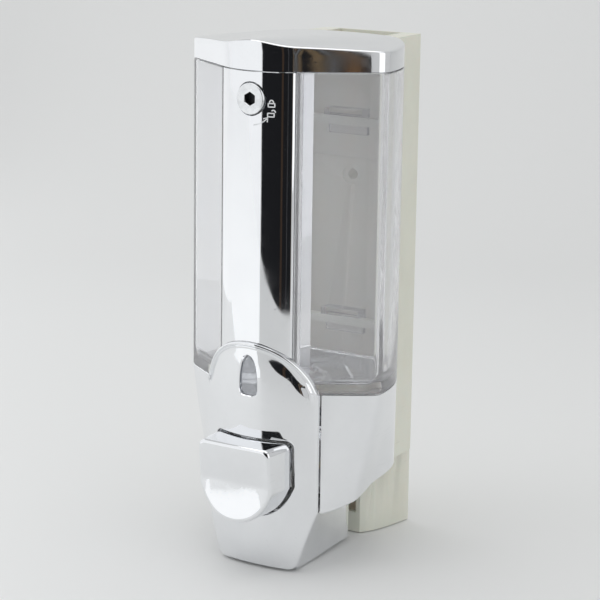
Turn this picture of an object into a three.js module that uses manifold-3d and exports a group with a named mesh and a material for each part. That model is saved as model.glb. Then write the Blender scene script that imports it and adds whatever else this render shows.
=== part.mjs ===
// Wall mounted soap dispenser: an ivory wall bracket, a clear tank with a hinged lid and a key lock,
// and a base with a push button that works a plunger pump. Millimetres, +Z up, front towards -Y.
// The rows below are drawn with z = 0 at the foot; the whole group is then set down so that its
// origin lies on the wall side of the bracket, at half of the object's height.
import * as THREE from "three";
import { mergeVertices } from "three/addons/utils/BufferGeometryUtils.js";
import Module from "manifold-3d";

const wasm = await Module();
wasm.setup();

// Overall heights
const originZ = 104; // height of the wall mount over the foot
const gap = 0.3; // room between touching pieces
const seamZ = 72.2; // where tank and base meet
const lidBottomZ = 196.5;
const rimTopZ = 204.3; // lid at its side edges
const domeRise = 1.9; // lid at its middle, over its edges
const humpRise = 1.9; // front of the lid, over the dome
const lidWall = 1.8;
const lidUndersideZ = 202.2;

// Plan of the body, one half, from the front middle to the back middle
const bulgeRadius = 26.9;
const bulgeY = -63.4; // centre of the round front
const frontY = bulgeY - bulgeRadius;
const panelHalf = 16.3;
const cornerFront = [41.8, -67.1];
const cornerControl = [43.9, -65.6];
const cornerBack = [43.9, -62.6];
const sideControl = [42.2, -43];
const sideBack = [30, -29.5];
const backControl = [24.5, -22.5];
const backY = -22.5;
const backHalf = 18;

// Tank and front panel
const tankWall = 2.6;
const tankFloorZ = 75.2;
const recessY = -79.8; // front wall of the tank, behind the panel
const panelWall = 1.5;
const spigot = { y: -58, outer: 10.5, inner: 8, bottom: 63.5 };
const hookBars = [168.7, 86]; // undersides of the bracket's two bars
const barHeight = 3.4;
const hookHalf = 9;

// Bracket
const bracketHalf = 22;
const bracketFrontHalf = 23.5;
const bracketFrontY = -21.7;
const bracketTopZ = 205;
const bracketWall = 2;
const web = { front: -14.4, back: -12 };
const screwHoles = [147.6, 58];
const footTopZ = 31;
const footLipZ = 8.4; // low wall across the front of the foot

// Hinge and lock
const hinge = { y: -19.6, z: 203.4, eye: 1.6, hole: 0.85, pin: 0.7, half: 12.2 };
const lock = { z: 186, radius: 6, hole: 6.3, flange: 7.4, stem: 2.4 };
const camPlate = { front: -83.6, back: -82.1 };
const catchScrewAt = [9.5, -79.6];

// Front cover and push button
const cover = { half: 25.5, shoulderZ: 72.2, taperZ: 24.6, footHalf: 18.7, bottom: 0.7, radius: 36.2 };
const coverWall = 2;
const coverY = -91; // most forward line of the cover
const archRise = 20;
const button = { half: 17.4, top: 53.5, bottom: 22.3, front: -101, back: -85, wall: 2, face: 4.4 };
const slotGap = 0.6;

// Pump
const pump = { z: 40, bore: 7.5, outer: 9.5, front: -82, back: -50, floor: 2 };
const rodRadius = 2.5;
const piston = { front: -78, back: -72, radius: 7.3, groove: 5.6 };
const inlet = { y: spigot.y, outer: 5.8, inner: 3.5, flange: 10.4, top: 61.6 };
const outlet = { y: -58, outer: 4.5, inner: 2.5, bottom: 19 };
const nozzle = { outer: 6.6, bore: 4.8, top: 26, bottom: 5, tip: 3.2 };

const chrome = { color: 0xdfe2e6, roughness: 0.08, metalness: 1 };
const clear = { color: 0xe6ecf5, roughness: 0.05, metalness: 0 };
const ivory = { color: 0xe3e2cf, roughness: 0.45, metalness: 0 };
const whitePlastic = { color: 0xf1f1ee, roughness: 0.5, metalness: 0 };
const steel = { color: 0xb9bcc0, roughness: 0.3, metalness: 1 };
const silicone = { color: 0xd8d8d6, roughness: 0.7, metalness: 0 };

const dispenser = new THREE.Group();
dispenser.position.z = -originZ;

// ---- solids ----

// A closed geometry as a manifold solid.
function solid(geometry) {
  geometry.deleteAttribute("normal");
  geometry.deleteAttribute("uv");
  const merged = mergeVertices(geometry, 1e-4);
  return new wasm.Manifold(
    new wasm.Mesh({
      numProp: 3,
      vertProperties: new Float32Array(merged.attributes.position.array),
      triVerts: new Uint32Array(merged.index.array),
    }),
  );
}

function join(first, ...rest) {
  return rest.reduce((whole, next) => whole.add(next), first);
}

function cut(first, ...rest) {
  return rest.reduce((whole, next) => whole.subtract(next), first);
}

// Adds one named piece to the dispenser.
function piece(name, body, look) {
  const found = body.getMesh();
  const geometry = new THREE.BufferGeometry();
  geometry.setAttribute("position", new THREE.BufferAttribute(found.vertProperties, 3));
  geometry.setIndex(new THREE.BufferAttribute(found.triVerts, 1));
  const mesh = new THREE.Mesh(geometry, new THREE.MeshStandardMaterial(look));
  mesh.name = name;
  dispenser.add(mesh);
}

function shapeOf(points) {
  return new THREE.Shape(points.map(([x, y]) => new THREE.Vector2(x, y)));
}

function block(x0, x1, y0, y1, z0, z1) {
  const box = new THREE.BoxGeometry(x1 - x0, y1 - y0, z1 - z0);
  return solid(box.translate((x0 + x1) / 2, (y0 + y1) / 2, (z0 + z1) / 2));
}

// An outline in plan, raised from z0 to z1.
function prism(shape, z0, z1) {
  const made = new THREE.ExtrudeGeometry(shape, { depth: z1 - z0, bevelEnabled: false, curveSegments: 10 });
  return solid(made.translate(0, 0, z0));
}

// An outline seen from the front (x, z), carried back from y0 to y1.
function frontPrism(shape, y0, y1) {
  const made = new THREE.ExtrudeGeometry(shape, { depth: y1 - y0, bevelEnabled: false, curveSegments: 12 });
  return solid(made.rotateX(Math.PI / 2).translate(0, y1, 0));
}

// An outline seen from the side (y, z), carried across from x0 to x1.
function sidePrism(shape, x0, x1) {
  const made = new THREE.ExtrudeGeometry(shape, { depth: x1 - x0, bevelEnabled: false, curveSegments: 12 });
  const turn = new THREE.Matrix4().set(0, 0, 1, x0, 1, 0, 0, 0, 0, 1, 0, 0, 0, 0, 0, 1);
  return solid(made.applyMatrix4(turn));
}

function rod(axis, radius, from, to, [a, b], sides = 32) {
  const made = new THREE.CylinderGeometry(radius, radius, to - from, sides);
  made.translate(0, (from + to) / 2, 0);
  if (axis === "x") made.rotateZ(-Math.PI / 2).translate(0, a, b);
  if (axis === "y") made.translate(a, 0, b);
  if (axis === "z") made.rotateX(Math.PI / 2).translate(a, b, 0);
  return solid(made);
}

function ringZ(outer, inner, z0, z1, y, sides = 32) {
  return cut(rod("z", outer, z0, z1, [0, y], sides), rod("z", inner, z0 - 1, z1 + 1, [0, y], sides));
}

// ---- the body's plan ----

// Half of the plan as points with x >= 0, front to back.
function halfPlan() {
  const path = new THREE.Path();
  const edgeAngle = -Math.acos(panelHalf / bulgeRadius);
  path.absarc(0, bulgeY, bulgeRadius, -Math.PI / 2, edgeAngle, false);
  path.lineTo(...cornerFront);
  path.quadraticCurveTo(...cornerControl, ...cornerBack);
  path.quadraticCurveTo(...sideControl, ...sideBack);
  path.quadraticCurveTo(...backControl, backHalf, backY);
  return path.getPoints(8).map((p) => [p.x, p.y]);
}

// The whole plan, moved inwards by inset along each corner's mean normal.
function bodyPlan(inset = 0) {
  const right = halfPlan();
  const left = right.slice(1).reverse().map(([x, y]) => [-x, y]);
  const loop = [...right, ...left];
  const moved = loop.map(([x, y], i) => {
    const before = loop[(i + loop.length - 1) % loop.length];
    const after = loop[(i + 1) % loop.length];
    const a = new THREE.Vector2(x - before[0], y - before[1]).normalize();
    const b = new THREE.Vector2(after[0] - x, after[1] - y).normalize();
    const normal = new THREE.Vector2(-(a.y + b.y), a.x + b.x).normalize();
    const stretch = inset / Math.max(0.5, normal.dot(new THREE.Vector2(-a.y, a.x)));
    return [x + normal.x * stretch, y + normal.y * stretch];
  });
  return shapeOf(moved);
}

// The shield seen from the front: straight sides, an arched top and a tapered foot.
function shield(grow = 0) {
  const half = cover.half + grow;
  const rise = archRise;
  const radius = (half * half + rise * rise) / (2 * rise);
  const top = cover.shoulderZ + grow;
  const low = cover.bottom - grow;
  const angle = Math.asin(half / radius);
  const shape = new THREE.Shape();
  shape.moveTo(-(cover.footHalf - 4 + grow), low);
  shape.lineTo(cover.footHalf - 4 + grow, low);
  shape.quadraticCurveTo(cover.footHalf - 1 + grow, low, cover.footHalf + grow, 4);
  shape.lineTo(half, cover.taperZ);
  shape.lineTo(half, top);
  shape.absarc(0, top + rise - radius, radius, Math.PI / 2 - angle, Math.PI / 2 + angle, false);
  shape.lineTo(-half, cover.taperZ);
  shape.lineTo(-(cover.footHalf + grow), 4);
  shape.quadraticCurveTo(-(cover.footHalf - 1 + grow), low, -(cover.footHalf - 4 + grow), low);
  return shape;
}

// The round face that the cover is bent to, as a solid of the given radius.
function coverRound(radius) {
  return rod("z", radius, -5, 95, [0, coverY + cover.radius], 96);
}

// The button's outline seen from the front: rounded upper corners and a round bottom.
function buttonOutline(grow = 0) {
  const half = button.half + grow;
  const top = button.top + grow;
  const bottom = button.bottom - grow;
  const corner = 3.5;
  const sideZ = 35.5;
  const shape = new THREE.Shape();
  shape.moveTo(half, top - corner);
  shape.quadraticCurveTo(half, top, half - corner, top);
  shape.lineTo(-half + corner, top);
  shape.quadraticCurveTo(-half, top, -half, top - corner);
  shape.lineTo(-half, sideZ);
  shape.quadraticCurveTo(-half + 4.5, bottom + 0.2, 0, bottom);
  shape.quadraticCurveTo(half - 4.5, bottom + 0.2, half, sideZ);
  return shape;
}

// The sight window seen from the front: narrow and rounded at its top, nearly flat at its bottom.
function teardrop(grow = 0) {
  const half = 4.1 + grow;
  const top = 86.6 + grow;
  const low = 70.9 - grow;
  const shape = new THREE.Shape();
  shape.moveTo(half, 77);
  shape.quadraticCurveTo(half * 0.86, top - 0.2, 0, top);
  shape.quadraticCurveTo(-half * 0.86, top - 0.2, -half, 77);
  shape.lineTo(-half, 73.6);
  shape.quadraticCurveTo(-half, low, -half + 2.9, low);
  shape.lineTo(half - 2.9, low);
  shape.quadraticCurveTo(half, low, half, 73.6);
  return shape;
}

// ---- bracket ----

function bracketHook(barZ) {
  return block(-bracketHalf + 1, bracketHalf - 1, bracketFrontY, bracketFrontY + 3, barZ, barZ + barHeight);
}

function wallBracket() {
  const trunk = prism(
    shapeOf([
      [bracketHalf, 0],
      [-bracketHalf, 0],
      [-bracketFrontHalf, bracketFrontY],
      [bracketFrontHalf, bracketFrontY],
    ]),
    footTopZ,
    bracketTopZ,
  );
  const footPlan = new THREE.Shape();
  footPlan.moveTo(bracketHalf - 0.3, 0);
  footPlan.lineTo(-bracketHalf + 0.3, 0);
  footPlan.quadraticCurveTo(-19.5, -20, -14, -27);
  footPlan.lineTo(14, -27);
  footPlan.quadraticCurveTo(19.5, -20, bracketHalf - 0.3, 0);
  const foot = prism(footPlan, 0, footTopZ + 0.01);
  const inner = bracketHalf - bracketWall;
  const pocketFloorZ = bracketTopZ - 15;
  const hollowTopZ = pocketFloorZ - bracketWall;
  const wallSide = block(-inner, inner, web.back, 1, footTopZ, hollowTopZ);
  const frontSide = block(-inner, inner, -40, web.front, footTopZ + bracketWall, hollowTopZ);
  const pocket = block(-14.5, 14.5, -40, -1.6, pocketFloorZ, bracketTopZ + 1);
  const footWallSide = block(-16.5, 16.5, web.back, 1, bracketWall, footTopZ + 0.1);
  const footHollow = block(-12, 12, -40, web.front, footLipZ, footTopZ + bracketWall + 1);
  const footFloor = block(-12, 12, -25, web.front, bracketWall, footLipZ + 1);
  const shell = cut(join(trunk, foot), wallSide, frontSide, pocket, footWallSide, footHollow, footFloor);
  const pad = block(-inner - 0.5, inner + 0.5, web.back - 0.5, 0, originZ - 3, originZ + 3);
  const upperPlate = block(-inner - 0.5, inner + 0.5, -16, web.front + 0.1, 155, hookBars[0] + 0.1);
  const bosses = screwHoles.map((z) => rod("y", 5, web.back - 0.5, 0, [0, z], 24));
  const drills = screwHoles.map((z) => rod("y", 2.25, -40, 1, [0, z], 24));
  const sinks = screwHoles.map((z) => rod("y", 4.4, -40, web.front + 0.8, [0, z], 24));
  return cut(join(shell, pad, upperPlate, ...bosses, ...hookBars.map(bracketHook)), ...drills, ...sinks);
}
piece("wall_bracket", wallBracket(), ivory);

// ---- tank ----

// A hook on the back of the tank that hangs behind one of the bracket's bars.
function tankHook(barZ) {
  const top = barZ + barHeight + gap;
  const neck = block(-hookHalf, hookHalf, backY - 0.4, -16.4, top, top + 3);
  return join(neck, block(-hookHalf, hookHalf, bracketFrontY + 3 + gap, -16.4, barZ - 4, top + 0.1));
}

// One of the two fixed eyes that hold the hinge pin.
function tankEye(x0, x1) {
  const post = block(x0, x1, backY + gap, hinge.y + hinge.eye, 191.5, hinge.z);
  const root = block(x0, x1, backY - 0.4, hinge.y + hinge.eye, 191.5, lidBottomZ - gap - 0.2);
  const eye = rod("x", hinge.eye, x0, x1, [hinge.y, hinge.z], 20);
  return join(post, root, eye);
}

function tank() {
  const top = lidBottomZ - gap;
  const bottom = seamZ + gap;
  const recess = block(-panelHalf - 0.4, panelHalf + 0.4, -100, recessY, 0, 300);
  const innerRecess = block(-panelHalf - 3, panelHalf + 3, -100, recessY + tankWall, 0, 300);
  const outer = cut(prism(bodyPlan(), bottom, top), recess);
  const hollow = cut(prism(bodyPlan(tankWall), tankFloorZ, top + 1), innerRecess);
  const neck = rod("z", spigot.outer, spigot.bottom, bottom + 1, [0, spigot.y]);
  const drain = rod("z", spigot.inner, spigot.bottom - 1, tankFloorZ + 1, [0, spigot.y]);
  const underCover = cut(frontPrism(shield(0.5), -100, -60), coverRound(cover.radius - coverWall - gap));
  const pinHole = rod("x", hinge.hole, -20, 20, [hinge.y, hinge.z], 16);
  const shell = cut(join(outer, neck), hollow, drain, underCover);
  const eyes = [tankEye(-12, -8), tankEye(8, 12)];
  return cut(join(shell, ...hookBars.map(tankHook), ...eyes), pinHole);
}
piece("tank", tank(), clear);

const gasket = ringZ(spigot.outer - 0.1, 6.6, inlet.top + gap, spigot.bottom - gap, spigot.y);
piece("tank_gasket", gasket, silicone);

function clampNut() {
  const ring = ringZ(13.5, spigot.outer + gap, 57, 69.5, spigot.y, 24);
  const lip = ringZ(13.5, inlet.outer + 0.5, 57, 59.2, spigot.y, 24);
  const grips = [0, 1, 2, 3, 4, 5, 6, 7].map((i) => {
    const angle = (i * Math.PI) / 4;
    return rod("z", 1.2, 57, 69.5, [13.5 * Math.cos(angle), spigot.y + 13.5 * Math.sin(angle)], 10);
  });
  return join(ring, lip, ...grips);
}
piece("tank_clamp_nut", clampNut(), whitePlastic);

// ---- lid ----

// Height of the lid's top at x, at the very front.
function lidTop(x) {
  const dome = domeRise * (1 - (x / cornerControl[0]) ** 2);
  const hump = Math.abs(x) < panelHalf ? (humpRise * (1 + Math.cos((Math.PI * x) / panelHalf))) / 2 : 0;
  return rimTopZ + dome + hump;
}

function lid() {
  const steps = 44;
  const top = Array.from({ length: steps + 1 }, (_, i) => 46 - (92 * i) / steps).map((x) => [x, lidTop(x)]);
  const humped = frontPrism(shapeOf([[-46, 190], [46, 190], ...top]), -95, -20);
  const crest = rimTopZ + domeRise + humpRise;
  const backCrest = rimTopZ + domeRise;
  const profile = [[frontY, 190], [backY, 190], [backY, backCrest], [frontY, crest]];
  const falling = sidePrism(shapeOf(profile), -50, 50);
  const outer = prism(bodyPlan(), lidBottomZ, 212).intersect(humped).intersect(falling);
  const hollow = prism(bodyPlan(lidWall), lidBottomZ - 1, lidUndersideZ);
  const knuckle = join(
    block(-7.6, 7.6, backY - 0.5, hinge.y, hinge.z - hinge.eye, hinge.z + hinge.eye),
    rod("x", hinge.eye, -7.6, 7.6, [hinge.y, hinge.z], 20),
  );
  const pinHole = rod("x", hinge.hole, -20, 20, [hinge.y, hinge.z], 16);
  const screwHole = rod("z", 1.1, 200, 203.8, catchScrewAt, 12);
  return cut(join(cut(outer, hollow), knuckle), pinHole, screwHole);
}
piece("lid", lid(), chrome);

piece("hinge_pin", rod("x", hinge.pin, -hinge.half, hinge.half, [hinge.y, hinge.z], 16), steel);

// The hooked tongue under the lid that the lock's cam holds down.
function lidCatch() {
  const { front, back } = camPlate;
  const bar = block(8.2, 10.4, front, back, 186.6, lidUndersideZ - gap);
  const foot = block(4.6, 8.3, front, back, 186.6, 188.3);
  const plate = block(5, 14, front, back + 5, lidUndersideZ - gap - 1.6, lidUndersideZ - gap);
  return cut(join(bar, foot, plate), rod("z", 1.1, 190, 210, catchScrewAt, 12));
}
piece("lid_catch", lidCatch(), whitePlastic);

function catchScrew() {
  const head = rod("z", 1.9, 198.6, 200, catchScrewAt, 16);
  return join(head, rod("z", 0.8, 199.9, 203.4, catchScrewAt, 12));
}
piece("lid_catch_screw", catchScrew(), steel);

// ---- front panel and lock ----

function frontPanel() {
  const round = rod("z", bulgeRadius, 60, lidBottomZ - gap, [0, bulgeY], 96);
  const inside = rod("z", bulgeRadius - panelWall, 50, 250, [0, bulgeY], 96);
  const strip = block(-panelHalf, panelHalf, -95, recessY - gap, 60, lidBottomZ - gap);
  const bent = cut(round.intersect(strip), inside);
  const flange = block(panelHalf - panelWall, panelHalf, -84.6, recessY - gap, 60, lidBottomZ - gap);
  const otherFlange = block(-panelHalf, panelWall - panelHalf, -84.6, recessY - gap, 60, lidBottomZ - gap);
  const belowArch = frontPrism(shield(0.5), -100, -60);
  const keyHole = rod("y", lock.hole, -100, -70, [0, lock.z]);
  return cut(join(bent, flange, otherFlange), belowArch, keyHole);
}
piece("front_panel", frontPanel(), chrome);

function lockPlug() {
  const head = rod("y", lock.radius, -91, -87, [0, lock.z], 40);
  const flange = rod("y", lock.flange, -87.2, -86.2, [0, lock.z], 40);
  const stem = rod("y", lock.stem, -86.3, camPlate.back - gap, [0, lock.z], 24);
  const socket = rod("y", 2.6, -92, -88, [0, lock.z], 6);
  const thread = rod("y", 1.3, -85.4, -80, [0, lock.z], 16);
  return cut(join(head, flange, stem), socket, thread);
}
piece("lock_plug", lockPlug(), chrome);

// The cranked arm that turns with the key and catches the lid's tongue, here in its open position.
function lockCam() {
  const { front, back } = camPlate;
  const hub = rod("y", 4.4, front, back, [0, lock.z], 24);
  const arm = block(-5.6, 0, front, back, lock.z - 2.2, lock.z + 2.2);
  const finger = block(-5.6, -3, front, back, lock.z - 2.2, lock.z + 7.6);
  return cut(join(hub, arm, finger), rod("y", lock.stem + gap, -90, -80, [0, lock.z], 24));
}
piece("lock_cam", lockCam(), steel);

function camScrew() {
  const head = rod("y", 3.4, camPlate.back + gap, camPlate.back + 1.5, [0, lock.z], 20);
  return join(head, rod("y", 1, -85, camPlate.back + 0.4, [0, lock.z], 16));
}
piece("lock_cam_screw", camScrew(), steel);

// ---- base housing, front cover and nose ----

const housingBottom = [[-95, 24], [-70, 24], [-62, 28], [-53, 31.8], [-20, 36]];
const housingSide = [
  [44.5, seamZ + 1], [43.6, seamZ], [42.2, 61.8], [41, 54], [39, 45],
  [37, 37], [34.5, 29], [30, 25], [24, 22],
];

// The hull of the base, moved inwards by inset.
function hull(inset, top) {
  const plan = prism(bodyPlan(inset), 20, top);
  const right = housingSide.map(([x, z]) => [x - inset, z]);
  const left = right.map(([x, z]) => [-x, z]).reverse();
  const fromFront = frontPrism(shapeOf([...right.reverse(), ...left.reverse()]), -100, -10);
  const low = housingBottom.map(([y, z]) => [y, z + inset]);
  const fromSide = sidePrism(shapeOf([...low, [-20, 90], [-95, 90]]), -60, 60);
  return plan.intersect(fromFront).intersect(fromSide);
}

// A tab on the housing that one of the cover's screws goes through.
function coverTab(side) {
  const [inner, outer] = side > 0 ? [17, 36] : [-36, -17];
  const plate = block(inner, outer, -73.7, -71.2, 57, 67).intersect(hull(1, 71));
  return cut(plate, rod("y", 1.7, -80, -60, [side * 20, 62], 16));
}

function baseHousing() {
  const wall = 2;
  const shell = cut(hull(0, seamZ), hull(wall, seamZ + 5));
  const openFront = block(-cover.half - gap, cover.half + gap, -100, -68, 0, 100);
  const pumpSlot = block(-pump.outer - 1, pump.outer + 1, -72, pump.back + 4, 0, 50);
  return join(cut(shell, openFront, pumpSlot), coverTab(1), coverTab(-1));
}
piece("base_housing", baseHousing(), chrome);

function coverBoss(side) {
  const outer = rod("y", 3, -84, -74, [side * 20, 62], 20);
  return outer.intersect(coverRound(cover.radius - 0.5));
}

function frontCover() {
  const bent = cut(coverRound(cover.radius), coverRound(cover.radius - coverWall));
  const plate = bent.intersect(frontPrism(shield(), -95, -70));
  const slot = frontPrism(buttonOutline(slotGap), -100, -60);
  const window = frontPrism(teardrop(), -100, -60);
  const threads = [1, -1].map((side) => rod("y", 1.4, -81, -70, [side * 20, 62], 16));
  return cut(join(plate, coverBoss(1), coverBoss(-1)), slot, window, ...threads);
}
piece("front_cover", frontCover(), chrome);

for (const [name, side] of [["cover_screw_right", 1], ["cover_screw_left", -1]]) {
  const shank = rod("y", 1.1, -80, -70.8, [side * 20, 62], 16);
  piece(name, join(shank, rod("y", 2.8, -70.9, -68.8, [side * 20, 62], 20)), steel);
}

function sightWindow() {
  const inFrame = frontPrism(teardrop(-gap), -95, -80).intersect(coverRound(cover.radius - 0.8));
  const lens = cut(inFrame, coverRound(cover.radius - coverWall - 1.3));
  const behindWall = cover.radius - coverWall;
  const inside = cut(coverRound(behindWall - gap), coverRound(behindWall - 1.3));
  return join(lens, inside.intersect(frontPrism(teardrop(1.6), -95, -80)));
}
piece("sight_window", sightWindow(), clear);

// The nose under the base that hides the outlet.
function noseSolid(inset) {
  const front = -79.6 + inset;
  const back = -36 - inset;
  const plan = prism(
    shapeOf([
      [24.5 - inset, front],
      [14.5 - inset, back],
      [-14.5 + inset, back],
      [-24.5 + inset, front],
    ]),
    -5,
    40,
  );
  const fromFront = frontPrism(
    shapeOf([
      [-17 + inset, -1 - inset],
      [17 - inset, -1 - inset],
      [24.6 - inset, 24],
      [24.6 - inset, 40],
      [-24.6 + inset, 40],
      [-24.6 + inset, 24],
    ]),
    -90,
    -30,
  );
  const fromSide = sidePrism(
    shapeOf([
      [-79.6, -inset],
      [-36, 1.5 - inset],
      [-36, 16 + inset],
      [-49, 28 + inset],
      [-54, 31 + inset],
      [-62, 27.7 + inset],
      [-70, 23.7 + inset],
      [-79.6, 23.7 + inset],
    ]),
    -40,
    40,
  );
  return plan.intersect(fromFront).intersect(fromSide);
}

function nozzleShroud() {
  const shell = cut(noseSolid(0), noseSolid(1.8));
  const pressedButton = frontPrism(buttonOutline(0.8), -90, button.back + 8.5);
  return cut(shell, pressedButton, coverRound(100).subtract(coverRound(cover.radius - coverWall - gap)));
}
piece("nozzle_shroud", nozzleShroud(), chrome);

// ---- push button ----

function pushButton() {
  const outer = frontPrism(buttonOutline(), button.front, button.back);
  const inner = frontPrism(buttonOutline(-button.wall), button.front + button.face, button.back + 1);
  const dish = rod("x", 26, -30, 30, [button.front - 23.6, 33], 96);
  const socket = rod("y", 4, button.front + button.face - 1, button.front + 7.5, [0, pump.z], 24);
  const socketStart = button.front + button.face;
  const socketHole = rod("y", rodRadius + gap, socketStart, socketStart + 4.6, [0, pump.z], 24);
  return cut(join(cut(outer, inner), socket), dish, socketHole);
}
piece("push_button", pushButton(), chrome);

piece("plunger_rod", rod("y", rodRadius, button.front + 4.7, piston.front + 3, [0, pump.z], 24), steel);

function pistonBody() {
  const disc = rod("y", piston.radius, piston.front, piston.back, [0, pump.z], 40);
  const groove = cut(
    rod("y", piston.radius + 1, piston.front + 2, piston.back - 1.6, [0, pump.z], 40),
    rod("y", piston.groove, -100, -50, [0, pump.z], 40),
  );
  const rodHole = rod("y", rodRadius + gap, piston.front - 1, piston.front + 3.3, [0, pump.z], 24);
  return cut(disc, groove, rodHole);
}
piece("pump_piston", pistonBody(), whitePlastic);

function pistonSeal() {
  const band = rod("y", pump.bore - 0.05, piston.front + 2.2, piston.back - 1.8, [0, pump.z], 40);
  return cut(band, rod("y", piston.groove + 0.2, -100, -50, [0, pump.z], 40));
}
piece("piston_seal", pistonSeal(), silicone);

// The return spring, wound round the rod between the button and the gland cap.
class Coil extends THREE.Curve {
  getPoint(t, target = new THREE.Vector3()) {
    const turns = 5.5;
    const angle = t * turns * 2 * Math.PI;
    return target.set(5.3 * Math.cos(angle), -93.6 + t * 7.6, pump.z + 5.3 * Math.sin(angle));
  }
}

function returnSpring() {
  const wire = new THREE.Shape();
  wire.absarc(0, 0, 0.45, 0, 2 * Math.PI, false);
  const made = new THREE.ExtrudeGeometry(wire, { steps: 88, curveSegments: 4, extrudePath: new Coil() });
  return solid(made);
}
piece("return_spring", returnSpring(), steel);

// ---- pump ----

function pumpBody() {
  const barrel = rod("y", pump.outer, pump.front, pump.back, [0, pump.z], 40);
  const bore = rod("y", pump.bore, pump.front - 1, pump.back - pump.floor, [0, pump.z], 40);
  const tower = rod("z", inlet.outer, pump.z, inlet.top, [0, inlet.y], 32);
  const flange = rod("z", inlet.flange, 59.6, inlet.top, [0, inlet.y], 32);
  const stub = rod("z", outlet.outer, outlet.bottom, pump.z, [0, outlet.y], 24);
  const ballRoom = rod("z", inlet.inner, 50.4, inlet.top + 1, [0, inlet.y], 24);
  const inletPort = block(-3.3, 3.3, inlet.y - 0.8, inlet.y + 0.8, pump.z, 52);
  const outletPort = rod("z", outlet.inner, outlet.bottom - 1, pump.z, [0, outlet.y], 20);
  return cut(join(barrel, tower, flange, stub), bore, ballRoom, inletPort, outletPort);
}
piece("pump_body", pumpBody(), whitePlastic);

function glandCap() {
  const cap = rod("y", 10.8, pump.front - 2.3, pump.front + 5, [0, pump.z], 32);
  const overBarrel = rod("y", pump.outer + gap, pump.front - gap, pump.front + 6, [0, pump.z], 32);
  return cut(cap, overBarrel, rod("y", rodRadius + 0.15, -100, -50, [0, pump.z], 24));
}
piece("gland_cap", glandCap(), whitePlastic);

const ballRadius = 2.8;
const ball = new THREE.SphereGeometry(ballRadius, 20, 14).translate(0, inlet.y, 50.4 + gap + ballRadius);
piece("inlet_ball", solid(ball), steel);

piece("inlet_seat", ringZ(inlet.inner - 0.2, 1.9, 58.2, inlet.top - 0.3, inlet.y, 24), whitePlastic);

function outletNozzle() {
  const tube = rod("z", nozzle.outer, nozzle.bottom, nozzle.top, [0, outlet.y], 32);
  const bore = rod("z", nozzle.bore, outlet.bottom - 5.3, nozzle.top + 1, [0, outlet.y], 32);
  const mouth = rod("z", nozzle.tip, nozzle.bottom - 1, 30, [0, outlet.y], 24);
  return cut(tube, bore, mouth);
}
piece("outlet_nozzle", outletNozzle(), whitePlastic);

function outletValve() {
  const collar = ringZ(nozzle.bore - 0.2, 2, outlet.bottom - 2, outlet.bottom - gap, outlet.y, 24);
  const bill = block(-2.6, 2.6, outlet.y - 1, outlet.y + 1, 10.5, outlet.bottom - 1.5);
  const inside = block(-2, 2, outlet.y - 0.4, outlet.y + 0.4, 10, outlet.bottom);
  return cut(join(collar, bill), inside);
}
piece("outlet_valve", outletValve(), silicone);

export default dispenser;
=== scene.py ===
import math

import bmesh
import bpy
from mathutils import Matrix, Vector
from mathutils.kdtree import KDTree


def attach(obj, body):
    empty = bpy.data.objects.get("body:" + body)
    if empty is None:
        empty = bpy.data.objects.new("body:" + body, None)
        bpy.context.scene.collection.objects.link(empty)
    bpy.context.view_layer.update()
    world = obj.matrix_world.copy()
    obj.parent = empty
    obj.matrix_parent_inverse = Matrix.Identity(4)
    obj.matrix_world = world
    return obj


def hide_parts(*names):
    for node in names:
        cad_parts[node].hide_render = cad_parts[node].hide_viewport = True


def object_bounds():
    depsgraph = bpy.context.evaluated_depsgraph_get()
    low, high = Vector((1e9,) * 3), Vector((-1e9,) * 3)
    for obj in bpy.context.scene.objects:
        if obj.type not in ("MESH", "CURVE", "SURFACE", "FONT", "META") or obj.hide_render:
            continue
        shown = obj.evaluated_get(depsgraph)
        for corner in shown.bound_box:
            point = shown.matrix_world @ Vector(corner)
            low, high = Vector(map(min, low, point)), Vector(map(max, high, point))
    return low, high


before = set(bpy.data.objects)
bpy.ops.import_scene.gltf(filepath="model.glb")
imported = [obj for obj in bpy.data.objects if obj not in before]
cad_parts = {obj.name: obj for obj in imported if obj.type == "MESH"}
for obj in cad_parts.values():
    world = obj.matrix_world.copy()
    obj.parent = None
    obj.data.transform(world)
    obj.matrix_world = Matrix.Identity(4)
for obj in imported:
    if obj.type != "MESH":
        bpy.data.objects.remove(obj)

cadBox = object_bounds()
scene = bpy.context.scene

# All pieces are drawn in millimetres over the foot, then set into the frame by placePiece.
bench = {"footZ": cadBox[0].z, "unit": 0.001}


def deselectAll():
    if bpy.context.object and bpy.context.object.mode != "OBJECT":
        bpy.ops.object.mode_set(mode="OBJECT")
    bpy.ops.object.select_all(action="DESELECT")


def makeActive(piece):
    deselectAll()
    piece.select_set(True)
    bpy.context.view_layer.objects.active = piece


def placePiece(piece):
    makeActive(piece)
    piece.scale = (bench["unit"],) * 3
    piece.location = (0, 0, bench["footZ"])
    bpy.ops.object.transform_apply(location=True, rotation=True, scale=True)
    return piece


def applyModifiers(piece):
    makeActive(piece)
    for modifier in list(piece.modifiers):
        bpy.ops.object.modifier_apply(modifier=modifier.name)


def bevelEdges(piece, width, segments=3, angle=32):
    modifier = piece.modifiers.new("softEdges", "BEVEL")
    modifier.width = width
    modifier.segments = segments
    modifier.limit_method = "ANGLE"
    modifier.angle_limit = math.radians(angle)
    modifier.harden_normals = False
    applyModifiers(piece)


def cutWith(piece, cutter, operation="DIFFERENCE"):
    modifier = piece.modifiers.new("cut", "BOOLEAN")
    modifier.operation = operation
    modifier.object = cutter
    modifier.solver = "EXACT"
    applyModifiers(piece)
    bpy.data.objects.remove(cutter, do_unlink=True)


def smoothFaces(piece, angle=30):
    makeActive(piece)
    bpy.ops.object.shade_smooth_by_angle(angle=math.radians(angle))


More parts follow.
